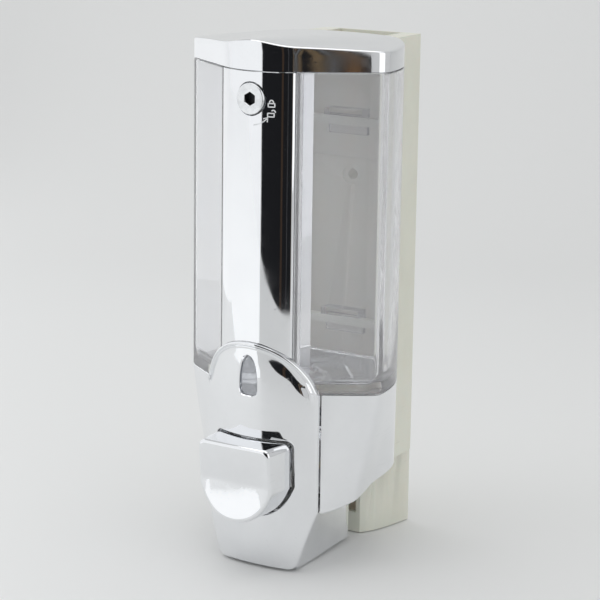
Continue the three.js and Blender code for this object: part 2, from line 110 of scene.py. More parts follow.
def finishPiece(piece, body, slot, look, *nodes):
    placePiece(piece)
    piece.data.materials.clear()
    piece.data.materials.append(materials[look])
    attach(piece, body)
    if nodes:
        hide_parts(*nodes)


def ringFinder(ring):
    finder = KDTree(len(ring))
    for index, point in enumerate(ring):
        finder.insert(point, index)
    finder.balance()
    return finder


def loftRings(name, rings, closedLoop=False):
    deselectAll()
    bpy.ops.mesh.primitive_circle_add(vertices=len(rings[0]), radius=1)
    piece = bpy.context.object
    piece.name = name
    piece.data.name = name
    for vertex, point in zip(piece.data.vertices, rings[0]):
        vertex.co = point
    bpy.ops.object.mode_set(mode="EDIT")
    bpy.ops.mesh.select_all(action="SELECT")
    before = rings[0]
    for ring in rings[1:]:
        bpy.ops.mesh.extrude_region_move()  # the new loop still lies on the last one
        mesh = bmesh.from_edit_mesh(piece.data)
        finder = ringFinder(before)
        for vertex in [vertex for vertex in mesh.verts if vertex.select]:
            vertex.co = ring[finder.find(vertex.co)[1]]
        bmesh.update_edit_mesh(piece.data)
        before = ring
    if closedLoop:
        bpy.ops.mesh.select_all(action="SELECT")
        bpy.ops.mesh.remove_doubles(threshold=0.0005)
    else:
        bpy.ops.mesh.edge_face_add()
        bpy.ops.mesh.select_all(action="DESELECT")
        bpy.ops.mesh.select_mode(type="EDGE")
        bpy.ops.mesh.select_non_manifold(extend=False)
        bpy.ops.mesh.edge_face_add()
    bpy.ops.mesh.select_mode(type="VERT")
    bpy.ops.mesh.select_all(action="SELECT")
    bpy.ops.mesh.normals_make_consistent(inside=False)
    bpy.ops.object.mode_set(mode="OBJECT")
    return piece


def boxPiece(name, low, high):
    deselectAll()
    centre = [(a + b) / 2 for a, b in zip(low, high)]
    bpy.ops.mesh.primitive_cube_add(size=1, location=centre)
    piece = bpy.context.object
    piece.name = name
    piece.scale = [b - a for a, b in zip(low, high)]
    bpy.ops.object.transform_apply(location=True, rotation=True, scale=True)
    return piece


def rodPiece(name, radius, start, end, sides=64):
    deselectAll()
    start, end = Vector(start), Vector(end)
    turn = (end - start).to_track_quat("Z", "Y").to_euler()
    bpy.ops.mesh.primitive_cylinder_add(
        vertices=sides, radius=radius, depth=(end - start).length,
        location=(start + end) / 2, rotation=turn,
    )
    piece = bpy.context.object
    piece.name = name
    bpy.ops.object.transform_apply(location=True, rotation=True, scale=True)
    return piece


def joinPieces(first, *others):
    deselectAll()
    for other in others:
        other.select_set(True)
    first.select_set(True)
    bpy.context.view_layer.objects.active = first
    bpy.ops.object.join()
    return first


def addObject(name, data):
    made = bpy.data.objects.new(name, data)
    scene.collection.objects.link(made)
    return made


def benchCopy(node, name):  # a copy of a CAD node, merged, in bench millimetres
    piece = addObject(name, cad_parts[node].data.copy())
    makeActive(piece)
    piece.data.transform(Matrix.Translation((0, 0, -bench["footZ"])))
    piece.data.transform(Matrix.Scale(1 / bench["unit"], 4))
    bpy.ops.object.mode_set(mode="EDIT")
    bpy.ops.mesh.select_all(action="SELECT")
    bpy.ops.mesh.remove_doubles(threshold=0.002)
    bpy.ops.mesh.dissolve_limited(angle_limit=math.radians(0.6))
    bpy.ops.mesh.customdata_custom_splitnormals_clear()
    bpy.ops.object.mode_set(mode="OBJECT")
    return piece


def smoothStep(low, high, value):
    share = min(1, max(0, (value - low) / (high - low)))
    return share * share * (3 - 2 * share)


def linePoints(start, end, count, first=1):
    return [tuple(a + (b - a) * step / count for a, b in zip(start, end))
            for step in range(first, first + count)]


def curvePoints(start, control, end, count):
    points = []
    for step in range(1, count + 1):
        t = step / count
        points.append(tuple(
            (1 - t) ** 2 * a + 2 * t * (1 - t) * b + t * t * c for a, b, c in zip(start, control, end)
        ))
    return points


def addNode(tree, kind, **values):
    node = tree.nodes.new(kind)
    for name, value in values.items():
        if name in node.inputs:
            node.inputs[name].default_value = value
        else:
            setattr(node, name, value)
    return node


def wearGroup():  # smudges, fine scratches and a slow wave, shared by every finish
    group = bpy.data.node_groups.new("surfaceWear", "ShaderNodeTree")
    face = group.interface
    face.new_socket("Vector", in_out="INPUT", socket_type="NodeSocketVector")
    for name in ("Low", "High", "Smudge Scale", "Scratch Scale", "Wave Scale", "Scratch Depth"):
        face.new_socket(name, in_out="INPUT", socket_type="NodeSocketFloat")
    for name in ("Roughness", "Height", "Mask"):
        face.new_socket(name, in_out="OUTPUT", socket_type="NodeSocketFloat")
    given = group.nodes.new("NodeGroupInput")
    result = group.nodes.new("NodeGroupOutput")
    link = group.links.new

    def noise(vector, scale, detail, roughness):
        made = addNode(group, "ShaderNodeTexNoise", Detail=detail, Roughness=roughness)
        link(vector, made.inputs["Vector"])
        link(given.outputs[scale], made.inputs["Scale"])
        return made.outputs["Fac"]

    def ramp(value, low, high):
        made = addNode(group, "ShaderNodeMapRange", **{"From Min": low, "From Max": high})
        link(value, made.inputs["Value"])
        return made.outputs["Result"]

    def combine(operation, first, second):
        made = addNode(group, "ShaderNodeMath", operation=operation)
        link(first, made.inputs[0])
        link(second, made.inputs[1])
        return made.outputs[0]

    patch = ramp(noise(given.outputs["Vector"], "Smudge Scale", 5.0, 0.62), 0.42, 0.68)
    stretch = addNode(group, "ShaderNodeMapping", Rotation=(0.3, 0.5, 0.9), Scale=(1, 0.04, 1))
    link(given.outputs["Vector"], stretch.inputs["Vector"])
    line = ramp(noise(stretch.outputs["Vector"], "Scratch Scale", 2.0, 0.4), 0.66, 0.74)
    mask = combine("MAXIMUM", patch, line)
    rough = addNode(group, "ShaderNodeMapRange")
    link(mask, rough.inputs["Value"])
    link(given.outputs["Low"], rough.inputs["To Min"])
    link(given.outputs["High"], rough.inputs["To Max"])
    wave = noise(given.outputs["Vector"], "Wave Scale", 1.0, 0.5)
    dent = combine("MULTIPLY", line, given.outputs["Scratch Depth"])
    link(rough.outputs["Result"], result.inputs["Roughness"])
    link(combine("SUBTRACT", wave, dent), result.inputs["Height"])
    link(mask, result.inputs["Mask"])
    return group


surfaceWear = wearGroup()


def makeMaterial(name, look):
    material = bpy.data.materials.new(name)
    material.use_nodes = True
    tree = material.node_tree
    shader = tree.nodes["Principled BSDF"]
    for socket, value in look["shader"].items():
        shader.inputs[socket].default_value = value
    place = tree.nodes.new("ShaderNodeTexCoord")
    wear = tree.nodes.new("ShaderNodeGroup")
    wear.node_tree = surfaceWear
    for socket, value in look["wear"].items():
        wear.inputs[socket].default_value = value
    link = tree.links.new
    link(place.outputs["Object"], wear.inputs["Vector"])
    link(wear.outputs["Roughness"], shader.inputs["Roughness"])
    bump = addNode(tree, "ShaderNodeBump", Strength=look["bump"][0], Distance=look["bump"][1])
    link(wear.outputs["Height"], bump.inputs["Height"])
    link(bump.outputs["Normal"], shader.inputs["Normal"])
    tint = addNode(tree, "ShaderNodeMix", data_type="RGBA")
    tint.inputs["A"].default_value = look["colours"][0]
    tint.inputs["B"].default_value = look["colours"][1]
    link(wear.outputs["Mask"], tint.inputs["Factor"])
    link(tint.outputs["Result"], shader.inputs["Base Color"])
    if look["clearShadow"]:  # light passes through the clear wall without a dark shadow
        path = tree.nodes.new("ShaderNodeLightPath")
        through = addNode(tree, "ShaderNodeBsdfTransparent")
        through.inputs["Color"].default_value = look["clearShadow"]
        mix = tree.nodes.new("ShaderNodeMixShader")
        link(path.outputs["Is Shadow Ray"], mix.inputs[0])
        link(shader.outputs[0], mix.inputs[1])
        link(through.outputs[0], mix.inputs[2])
        link(mix.outputs[0], tree.nodes["Material Output"].inputs["Surface"])
    return material


def finish(colours, wear, bump, clearShadow=None, **shader):
    names = ("Low", "High", "Smudge Scale", "Scratch Scale", "Wave Scale", "Scratch Depth")
    return {
        "colours": [(*colour, 1) for colour in colours], "wear": dict(zip(names, wear)),
        "bump": bump, "clearShadow": clearShadow,
        "shader": {name.replace("_", " "): value for name, value in shader.items()},
    }


looks = {  # two colours, then the wear from Low to Scratch Depth, then the bump's strength and distance
    "chromePlating": finish(
        ((0.88, 0.89, 0.905), (0.85, 0.86, 0.875)), (0.025, 0.075, 55, 900, 34, 0.02),
        (0.12, 0.0004), Metallic=1.0,
    ),
    "lockMetal": finish(
        ((0.8, 0.81, 0.82), (0.7, 0.71, 0.72)), (0.1, 0.22, 300, 1800, 200, 0.2),
        (0.1, 0.0003), Metallic=1.0,
    ),
    "clearPlastic": finish(
        ((0.99, 0.992, 1.0), (0.975, 0.98, 1.0)), (0.01, 0.05, 40, 700, 24, 0.05),
        (0.08, 0.0004), clearShadow=(0.985, 0.985, 0.995, 1), Transmission_Weight=0.88, IOR=1.36,
    ),
    "windowPlastic": finish(
        ((0.92, 0.94, 0.97), (0.88, 0.9, 0.94)), (0.02, 0.08, 60, 900, 40, 0.05),
        (0.08, 0.0003), clearShadow=(0.95, 0.95, 0.97, 1), Transmission_Weight=0.72, IOR=1.4,
    ),
    "ivoryPlastic": finish(
        ((0.75, 0.75, 0.66), (0.71, 0.71, 0.62)), (0.36, 0.48, 30, 1400, 1600, 0.5),
        (0.1, 0.0002), Specular_IOR_Level=0.45, Subsurface_Weight=0.05,
    ),
    "whitePlastic": finish(
        ((0.8, 0.8, 0.78), (0.75, 0.75, 0.73)), (0.4, 0.55, 60, 1400, 1500, 0.5),
        (0.12, 0.0002), Specular_IOR_Level=0.4,
    ),
    "brightSteel": finish(
        ((0.62, 0.63, 0.65), (0.55, 0.56, 0.58)), (0.18, 0.34, 200, 2200, 600, 0.6),
        (0.15, 0.0002), Metallic=1.0,
    ),
    "softSilicone": finish(
        ((0.72, 0.72, 0.71), (0.68, 0.68, 0.67)), (0.55, 0.7, 90, 1500, 1200, 0.3),
        (0.1, 0.0002), Specular_IOR_Level=0.3, Subsurface_Weight=0.1,
    ),
    # painted shade: the near-black colour stands in for the shade deep inside the key socket
    "socketPaintedShade": finish(
        ((0.02, 0.02, 0.022), (0.045, 0.045, 0.05)), (0.35, 0.55, 300, 1800, 900, 0.3),
        (0.1, 0.0001), Metallic=0.6,
    ),
    "printWhite": finish(
        ((0.78, 0.79, 0.8), (0.7, 0.71, 0.72)), (0.35, 0.5, 300, 1800, 900, 0.3),
        (0.1, 0.0001), Specular_IOR_Level=0.4,
    ),
}
materials = {name: makeMaterial(name, look) for name, look in looks.items()}
print("materials made")


plan = {
    "bulgeRadius": 26.9, "bulgeY": -63.4, "panelHalf": 16.3,
    "cornerFront": (41.8, -67.1), "cornerControl": (43.9, -65.6), "cornerBack": (43.9, -62.6),
    "sideControl": (42.2, -43.0), "sideBack": (30.0, -29.5),
    "backControl": (24.5, -22.5), "backHalf": 18.0, "backY": -22.5,
    "centre": (0.0, -54.0),
}


def halfPlan():
    edge = math.asin(plan["panelHalf"] / plan["bulgeRadius"])
    points = [
        (plan["bulgeRadius"] * math.sin(edge * step / 20),
         plan["bulgeY"] - plan["bulgeRadius"] * math.cos(edge * step / 20))
        for step in range(21)
    ]
    corner = plan["cornerFront"]
    points += linePoints(points[-1], corner, 10)
    points += curvePoints(corner, plan["cornerControl"], plan["cornerBack"], 12)
    points += curvePoints(plan["cornerBack"], plan["sideControl"], plan["sideBack"], 20)
    points += curvePoints(plan["sideBack"], plan["backControl"], (plan["backHalf"], plan["backY"]), 12)
    points += [(plan["backHalf"] * (1 - s / 6), plan["backY"]) for s in range(1, 7)]
    return points


def mirrored(half):  # the first and last points lie on the middle line
    return half + [(-x, y) for x, y in reversed(half[1:-1])]


def insetLoop(loop, inset):
    count = len(loop)
    moved = []
    for index, (x, y) in enumerate(loop):
        a = Vector(loop[index]) - Vector(loop[index - 1])
        b = Vector(loop[(index + 1) % count]) - Vector(loop[index])
        a.normalize()
        b.normalize()
        normal = Vector((-(a.y + b.y), a.x + b.x)).normalized()
        stretch = inset / max(0.5, normal.dot(Vector((-a.y, a.x))))
        moved.append((x + normal.x * stretch, y + normal.y * stretch))
    return moved


def towards(loop, share, centre=None):
    centre = centre or plan["centre"]
    return [(centre[0] + (x - centre[0]) * share, centre[1] + (y - centre[1]) * share) for x, y in loop]


bodyLoop = mirrored(halfPlan())


def atHeight(loop, height):
    if callable(height):
        return [(x, y, height(x, y)) for x, y in loop]
    return [(x, y, height) for x, y in loop]


lidShape = {
    "bottom": 196.5, "rim": 204.3, "dome": 1.9, "hump": 1.9, "wall": 1.8, "underside": 202.2,
    "round": 0.7, "humpHalf": 16.3, "humpSpread": 0.45, "domeHalf": 44.6, "depth": 68,
    "knuckle": ((-7.6, -23.2, 201.9), (7.6, -19.6, 204.9)), "pin": (-19.6, 203.4, 1.6),
}


def lidTop(x, y):
    depth = (y - (plan["bulgeY"] - plan["bulgeRadius"])) / lidShape["depth"]
    half = lidShape["humpHalf"] + lidShape["humpSpread"] * lidShape["depth"] * depth
    hump = (1 + math.cos(math.pi * x / half)) / 2 if abs(x) < half else 0
    dome = lidShape["dome"] * (1 - (x / lidShape["domeHalf"]) ** 2)
    return lidShape["rim"] + dome + lidShape["hump"] * (1 - depth) * hump


def makeLid():
    inner = insetLoop(bodyLoop, lidShape["wall"])
    rings = [atHeight(towards(inner, share), lidShape["underside"]) for share in (0.04, 0.5, 0.97)]
    rings += [
        atHeight(inner, lidShape["underside"] - 1.2),
        atHeight(inner, lidShape["bottom"] + 0.3),
        atHeight(insetLoop(bodyLoop, lidShape["wall"] - 0.3), lidShape["bottom"]),
        atHeight(insetLoop(bodyLoop, 0.25), lidShape["bottom"]),
        atHeight(bodyLoop, lidShape["bottom"] + 0.25),
    ]
    bottom = lidShape["bottom"]
    for share in (0.34, 0.67):
        rings.append(atHeight(bodyLoop, lambda x, y: bottom + (lidTop(x, y) - bottom) * share))
    for step in range(5):
        angle = step / 4 * math.pi / 2
        drop = lidShape["round"] * (1 - math.sin(angle))
        edge = insetLoop(bodyLoop, lidShape["round"] * (1 - math.cos(angle)))
        rings.append(atHeight(edge, lambda x, y: lidTop(x, y) - drop))
    flat = insetLoop(bodyLoop, lidShape["round"])
    for share in (0.985, 0.95, 0.9, 0.83, 0.75, 0.66, 0.57, 0.48, 0.39, 0.3, 0.21, 0.12, 0.04):
        rings.append(atHeight(towards(flat, share), lidTop))
    lid = loftRings("lidShell", rings)
    smoothFaces(lid, 40)
    finishPiece(lid, "lid", "chrome_plating", "chromePlating", "lid")
    low, high = lidShape["knuckle"]
    pinY, pinZ, radius = lidShape["pin"]
    knuckle = boxPiece("lidKnuckle", low, high)
    barrel = rodPiece("barrel", radius, (low[0], pinY, pinZ), (high[0], pinY, pinZ), 32)
    bevelEdges(barrel, 0.2, 2)
    bevelEdges(knuckle, 0.25, 2)
    joinPieces(knuckle, barrel)
    smoothFaces(knuckle, 35)
    finishPiece(knuckle, "lid", "chrome_plating", "chromePlating")


makeLid()
print("lid made")


shield = {
    "half": 25.5, "shoulder": 72.2, "taper": 24.6, "footHalf": 18.7, "bottom": 0.7,
    "archRise": 20.0,
    "centre": (0.0, 40.0),
}
archRadius = (shield["half"] ** 2 + shield["archRise"] ** 2) / (2 * shield["archRise"])


def archZ(x, grow=0.0):
    radius = archRadius + grow
    centreZ = shield["shoulder"] + shield["archRise"] - archRadius
    return centreZ + math.sqrt(max(0.0, radius ** 2 - x ** 2))


panelShape = {
    "wall": 1.5, "flangeY": -80.1, "top": 196.2, "edge": 0.7, "archGap": 0.1,
    "keyHole": 6.5, "keyZ": 186,
}


def makePanel():
    radius, half = plan["bulgeRadius"], plan["panelHalf"]
    wall, edge = panelShape["wall"], panelShape["edge"]
    sideY = plan["bulgeY"] - math.sqrt(radius ** 2 - half ** 2)
    outerHalf = half - edge
    outer = []
    for step in range(-28, 29):
        x = outerHalf * step / 28
        outer.append((x, plan["bulgeY"] - math.sqrt(radius ** 2 - x ** 2)))
    flangeY = panelShape["flangeY"]
    right = [(half - edge * 0.3, sideY + edge * 0.25), (half, sideY + edge * 1.1), (half, flangeY)]
    inner = []
    innerHalf = half - wall
    for step in range(28, -29, -1):
        x = innerHalf * step / 28
        inner.append((x, plan["bulgeY"] - math.sqrt((radius - wall) ** 2 - x ** 2)))
    left = [(-x, y) for x, y in reversed(right)]
    loop = outer + right + [(innerHalf, flangeY)] + inner + [(-innerHalf, flangeY)] + left
    heights = [0, 0.02, 0.2, 0.4, 0.6, 0.8, 0.98, 1]
    rings = []
    for share in heights:
        ring = []
        for x, y in loop:
            low = archZ(x, panelShape["archGap"])
            ring.append((x, y, low + (panelShape["top"] - low) * share))
        rings.append(ring)
    panel = loftRings("panelStrip", rings)
    keyZ = panelShape["keyZ"]
    cutWith(panel, rodPiece("keyHole", panelShape["keyHole"], (0, -95, keyZ), (0, -84, keyZ), 72))
    smoothFaces(panel, 30)
    roundNormals(panel, radius)
    finishPiece(panel, "container", "chrome_plating", "chromePlating", "front_panel")


def roundNormals(panel, radius):  # the bulge keeps its true round normals around the key hole
    mesh = panel.data
    normals = []
    for polygon in mesh.polygons:
        for loopIndex in polygon.loop_indices:
            point = mesh.vertices[mesh.loops[loopIndex].vertex_index].co
            away = Vector((point.x, point.y - plan["bulgeY"], 0))
            near = abs(away.length - radius) < 0.05 and polygon.normal.dot(away.normalized()) > 0.9
            normals.append(away.normalized() if near else mesh.corner_normals[loopIndex].vector.copy())
    mesh.normals_split_custom_set(normals)


makePanel()
print("panel made")


coverShape = {
    "topY": -91.0, "footY": -85.0, "edgeY": -80.5, "wall": 2.0, "edgeRound": 0.4, "slotRound": 0.35,
    "beads": ((0.4, 1.0), (0.75, 0.95), (1.0, 0.35), (1.2, 0.35), (1.45, 0.9), (1.8, 0.9),
              (2.15, 0.1), (2.4, 0.0)),  # inset from the edge, share of the height
    "beadHeight": 0.9, "fall": 0.68, "height": 92.0,
}
buttonShape = {
    "half": 17.4, "frontHalf": 16.5, "top": 53.5, "bottom": 22.3, "sideZ": 35.5, "corner": 3.5,
    "front": -101.0, "back": -85.0, "slotGap": 0.5, "edgeRound": 1.3, "dishDepth": 2.0, "creaseZ": 37.9,
    "centre": (0.0, 40.0), "wall": 2.0,
}


def coverFace(x, z):
    t = min(1.0, max(0.0, z / coverShape["height"]))
    middle = coverShape["footY"] + (coverShape["topY"] - coverShape["footY"]) * (2 * t - t * t)
    return middle + (coverShape["edgeY"] - middle) * (x / shield["half"]) ** 2


def shieldOutline(grow=0.0):
    half, foot = shield["half"] + grow, shield["footHalf"] + grow
    bottom, top = shield["bottom"] - grow, shield["shoulder"] + grow * 0.7
    points = [(0, bottom), (foot - 4, bottom)]
    points += curvePoints((foot - 4, bottom), (foot - 1, bottom), (foot, 4), 8)
    points += [(half, shield["taper"]), (half, top)]
    radius = archRadius + grow
    centreZ = shield["shoulder"] + shield["archRise"] - archRadius
    edge = math.asin(min(1, half / radius))
    for step in range(1, 25):
        angle = edge * (1 - step / 24)
        points.append((radius * math.sin(angle), centreZ + radius * math.cos(angle)))
    return mirrored(points)


def buttonOutline(grow=0.0):
    half, top = buttonShape["half"] + grow, buttonShape["top"] + grow
    bottom = buttonShape["bottom"] - grow
    corner, side = buttonShape["corner"], buttonShape["sideZ"]
    points = [(0, bottom)]
    points += curvePoints((0, bottom), (half - 4.5, bottom + 0.2), (half, side), 20)
    points += [(half, top - corner)]
    points += curvePoints((half, top - corner), (half, top), (half - corner, top), 8)
    points += [(0, top)]
    return mirrored(points)


def polarRing(outline, centre, angles):  # where rays from the centre cross the outline
    ring = []
    for angle in angles:
        direction = Vector((math.cos(angle), math.sin(angle)))
        best = 0.0
        for index, end in enumerate(outline):
            a, b = Vector(outline[index - 1]) - Vector(centre), Vector(end) - Vector(centre)
            edge = b - a
            cross = direction.x * edge.y - direction.y * edge.x
            if abs(cross) < 1e-9:
                continue
            distance = (a.x * edge.y - a.y * edge.x) / cross
            along = (a.x * direction.y - a.y * direction.x) / cross
            if distance > 0 and -1e-6 <= along <= 1 + 1e-6:
                best = max(best, distance)
        ring.append((centre[0] + direction.x * best, centre[1] + direction.y * best))
    return ring


def anglesFor(count, centre, *corners):
    angles = {round(2 * math.pi * step / count, 4) for step in range(count)}
    for x, z in corners:
        for side in (1, -1):
            angle = math.atan2(z - centre[1], side * x - centre[0]) % (2 * math.pi)
            angles = {known for known in angles if abs(known - angle) > 0.006}
            angles.add(round(angle, 4))
    return sorted(angles)


def blendLoops(first, second, share):
    return [(a + (c - a) * share, b + (d - b) * share) for (a, b), (c, d) in zip(first, second)]


def onFace(loop, push=0.0):
    return [(x, coverFace(x, z) + (push(x, z) if callable(push) else push), z) for x, z in loop]


def archWeight(z):
    return smoothStep(69.0, 73.5, z)


def archFall(share):  # the face rounds off backwards on its way to the bead
    depth = coverShape["fall"] * max(0.0, 1 - share / 0.42) ** 2
    return lambda x, z: depth * smoothStep(66.0, 78.0, z) * smoothStep(2.0, 13.0, abs(x))


def makeCover():
    centre = shield["centre"]
    half, top = buttonShape["half"], buttonShape["top"]
    angles = anglesFor(
        168, centre, (shield["half"], shield["taper"]), (shield["half"], shield["shoulder"]),
        (shield["footHalf"], 4), (shield["footHalf"] - 4, shield["bottom"]),
        (half + 1.2, top - 2.3), (half - 2.3, top + 1.2),
    )
    edge = polarRing(shieldOutline(), centre, angles)
    slot = polarRing(buttonOutline(buttonShape["slotGap"]), centre, angles)
    wall, bead = coverShape["wall"], coverShape["beadHeight"]

    def shrink(amount):
        return polarRing(insetLoop(shieldOutline(), amount), centre, angles)

    def beadLift(share, start=0.0):
        fall = archFall(0)
        return lambda x, z: start + fall(x, z) - bead * share * archWeight(z)

    radius = coverShape["edgeRound"]
    wide = polarRing(buttonOutline(buttonShape["slotGap"] + coverShape["slotRound"]), centre, angles)
    rings = [onFace(slot, wall)]
    rings += [
        onFace(blendLoops(slot, edge, 0.5), wall),
        onFace(shrink(0.3), wall),
        onFace(edge, wall - 0.3),
        onFace(edge, beadLift(1, radius)),
        onFace(shrink(radius * 0.3), beadLift(1, radius * 0.3)),
    ]
    for inset, share in coverShape["beads"]:
        rings.append(onFace(shrink(inset), beadLift(share)))
    start = shrink(coverShape["beads"][-1][0] + 0.3)
    for share in (0, 0.06, 0.12, 0.18, 0.24, 0.32, 0.42, 0.52, 0.65, 0.8, 0.92, 1):
        rings.append(onFace(blendLoops(start, wide, share), archFall(share)))
    rings += [
        onFace(polarRing(buttonOutline(buttonShape["slotGap"] + 0.15), centre, angles), 0.15),
        onFace(slot, 0.5),
        onFace(slot, wall),
    ]
    cover = loftRings("coverShield", rings, closedLoop=True)
    smoothFaces(cover, 35)
    cutWith(cover, windowCutter())
    keepFaceNormals(cover)
    finishPiece(cover, "container", "chrome_plating", "chromePlating", "front_cover")


windowShape = {
    "half": 4.1, "top": 86.6, "low": 70.9, "corner": 2.9, "sideLow": 73.6, "sideHigh": 77,
    "gap": 0.25, "centre": (0.0, 77.5),
    "depths": ((0.05, 2.4), (0.97, 2.4), (1, 2.2), (1, 1.2), (0.96, 0.95), (0.9, 0.85), (0.5, 0.8),
               (0.05, 0.8)),  # share of the outline, distance behind the face
}


def windowOutline(grow=0.0):
    half, top, low = (windowShape["half"] + grow, windowShape["top"] + grow, windowShape["low"] - grow)
    corner, sideHigh = windowShape["corner"], windowShape["sideHigh"]
    right = [(0, low), (half - corner, low)]
    right += curvePoints((half - corner, low), (half, low), (half, windowShape["sideLow"]), 10)
    right += [(half, sideHigh)]
    right += curvePoints((half, sideHigh), (half * 0.86, top - 0.2), (0, top), 16)
    return mirrored(right)


def windowCutter():  # the mouth of the hole is wider, so the rim shows as a slope
    rings = [[(x, level, z) for x, z in windowOutline(grow)]
             for level, grow in ((-96, 5.2), (-90.9, 0.55), (-90.2, 0.0), (-80, 0.0))]
    return loftRings("windowCut", rings)


def keepFaceNormals(cover):  # the front keeps the normals of its own curve around the window
    mesh = cover.data
    normals = []
    for polygon in mesh.polygons:
        for loopIndex in polygon.loop_indices:
            point = mesh.vertices[mesh.loops[loopIndex].vertex_index].co
            normal = mesh.corner_normals[loopIndex].vector.copy()
            nearWindow = abs(point.x) < 9 and 62 < point.z < 89.2
            onFront = abs(point.y - coverFace(point.x, point.z)) < 0.06
            if nearWindow and onFront and polygon.normal.y < -0.8:
                dx = (coverFace(point.x + 0.1, point.z) - coverFace(point.x - 0.1, point.z)) / 0.2
                dz = (coverFace(point.x, point.z + 0.1) - coverFace(point.x, point.z - 0.1)) / 0.2
                normal = Vector((dx, -1, dz)).normalized()
            normals.append(normal)
    mesh.normals_split_custom_set(normals)


makeCover()
print("cover made")


tankShape = {
    "top": 196.2, "bottom": 72.5, "floor": 75.2, "wall": 2.6, "recessY": -79.8, "recessHalf": 16.7,
    "floorRound": 5.0, "spigotY": -58.0, "spigotOuter": 10.5, "spigotInner": 8.0,
    "spigotBottom": 63.5, "gap": 0.3,
}
tankHooks = {
    "bars": (168.7, 86.0), "barHeight": 3.4, "half": 9.0, "root": -22.9, "back": -16.4, "dropY": -18.4,
    "thick": 3.0, "lip": 4.0, "hinge": (-19.6, 203.4, 1.6), "hole": 0.85, "eyeFrom": 8.0, "eyeTo": 12.0,
    "postLow": 191.5,
}


def tankHalf(recessY, recessHalf):  # the plan with the front set back behind the panel
    half = halfPlan()
    slant = [point for point in half if point[0] > recessHalf + 0.9]
    front = [(recessHalf * step / 18, recessY) for step in range(19)]
    edgeX = recessHalf
    start = half[20]
    corner = plan["cornerFront"]
    slope = (corner[1] - start[1]) / (corner[0] - start[0])
    edgeY = start[1] + slope * (edgeX - start[0])
    side = [(edgeX, recessY + (edgeY - recessY) * step / 5) for step in range(1, 5)]
    turn = [(edgeX, edgeY + 0.4), (edgeX + 0.12, edgeY + 0.12), (edgeX + 0.45, edgeY + 0.3)]
    return front[:-1] + [(edgeX, recessY)] + side + turn + slant


def coverRelief():  # the room that the cover takes out of the front of the tank
    centre = shield["centre"]
    outline = polarRing(shieldOutline(0.5), centre, anglesFor(120, centre))
    rings = [[(x, -100.0, z) for x, z in outline]]
    for share in (1, 0.9, 0.75, 0.6, 0.4, 0.2, 0.03):
        rings.append(onFace(towards(outline, share, centre), coverShape["wall"] + tankShape["gap"]))
    return loftRings("coverRelief", rings)


def addTankHooks(tank):
    half, back, front = tankHooks["half"], tankHooks["back"], tankHooks["root"]
    for barZ in tankHooks["bars"]:
        top = barZ + tankHooks["barHeight"] + tankShape["gap"]
        neck = boxPiece("hookNeck", (-half, front, top), (half, back, top + tankHooks["thick"]))
        corner = (-half, tankHooks["dropY"], barZ - tankHooks["lip"])
        lip = boxPiece("hookLip", corner, (half, back, top + 0.5))
        for part in (neck, lip):
            cutWith(tank, part, "UNION")
    hingeY, hingeZ, eye = tankHooks["hinge"]
    for side in (-1, 1):
        low, high = sorted((side * tankHooks["eyeFrom"], side * tankHooks["eyeTo"]))
        foot = tankHooks["postLow"]
        post = boxPiece("eyePost", (low, front + 0.7, foot), (high, hingeY + eye, hingeZ))
        root = boxPiece("eyeRoot", (low, front, foot), (high, front + 1.2, tankShape["top"] - 0.2))
        ring = rodPiece("eyeRing", eye, (low, hingeY, hingeZ), (high, hingeY, hingeZ), 32)
        for part in (post, root, ring):
            cutWith(tank, part, "UNION")
    pinHole = rodPiece("pinHole", tankHooks["hole"], (-20, hingeY, hingeZ), (20, hingeY, hingeZ), 24)
    cutWith(tank, pinHole)


def makeTank():
    outer = mirrored(tankHalf(tankShape["recessY"], tankShape["recessHalf"]))
    wall = tankShape["wall"]
    innerFront = tankShape["recessY"] + wall
    inner = []
    for (x, y), (ix, iy) in zip(outer, insetLoop(outer, wall)):
        if abs(x) <= tankShape["recessHalf"] + 0.5:
            share = min(1, abs(x) / tankShape["recessHalf"])
            inner.append((math.copysign(abs(x) + wall * share, x) if x else 0.0, innerFront))
        else:
            inner.append((ix, iy))
    top, bottom = tankShape["top"], tankShape["bottom"]
    rings = []

    def circle(radius, height):
        points, centreY = [], tankShape["spigotY"]
        for x, y in outer:
            angle = math.atan2(y - centreY, x)
            points.append((radius * math.cos(angle), centreY + radius * math.sin(angle), height))
        return points

    drain, neck = tankShape["spigotInner"], tankShape["spigotOuter"]
    rings += [
        circle(drain, tankShape["spigotBottom"]),
        circle(neck, tankShape["spigotBottom"]),
        circle(neck, bottom - 0.5),
        circle(neck + 0.8, bottom),
        atHeight(insetLoop(outer, 0.3), bottom),
        atHeight(outer, bottom + 0.3),
    ]
    for share in (0.25, 0.5, 0.75):
        rings.append(atHeight(outer, bottom + (top - bottom) * share))
    rings += [
        atHeight(outer, top - 0.3),
        atHeight(insetLoop(outer, 0.3), top),
        atHeight(blendLoops(outer, inner, 0.88), top),
        atHeight(inner, top - 0.3),
    ]
    for share in (0.75, 0.5, 0.25):
        rings.append(atHeight(inner, bottom + (top - bottom) * share))
    radius = tankShape["floorRound"]
    for step in range(7):
        angle = step / 6 * math.pi / 2
        move = 1 - radius * (1 - math.cos(angle)) / 36
        level = tankShape["floor"] + radius * (1 - math.sin(angle))
        rings.append(atHeight(towards(inner, move), level))
    rings += [
        circle(drain + 1.5, tankShape["floor"]),
        circle(drain, tankShape["floor"] - 1),
        circle(drain, tankShape["spigotBottom"]),
    ]
    tank = loftRings("tankShell", rings, closedLoop=True)
    addTankHooks(tank)
    cutWith(tank, coverRelief())
    smoothFaces(tank, 35)
    finishPiece(tank, "container", "clear_plastic", "clearPlastic", "tank")


makeTank()
print("tank made")


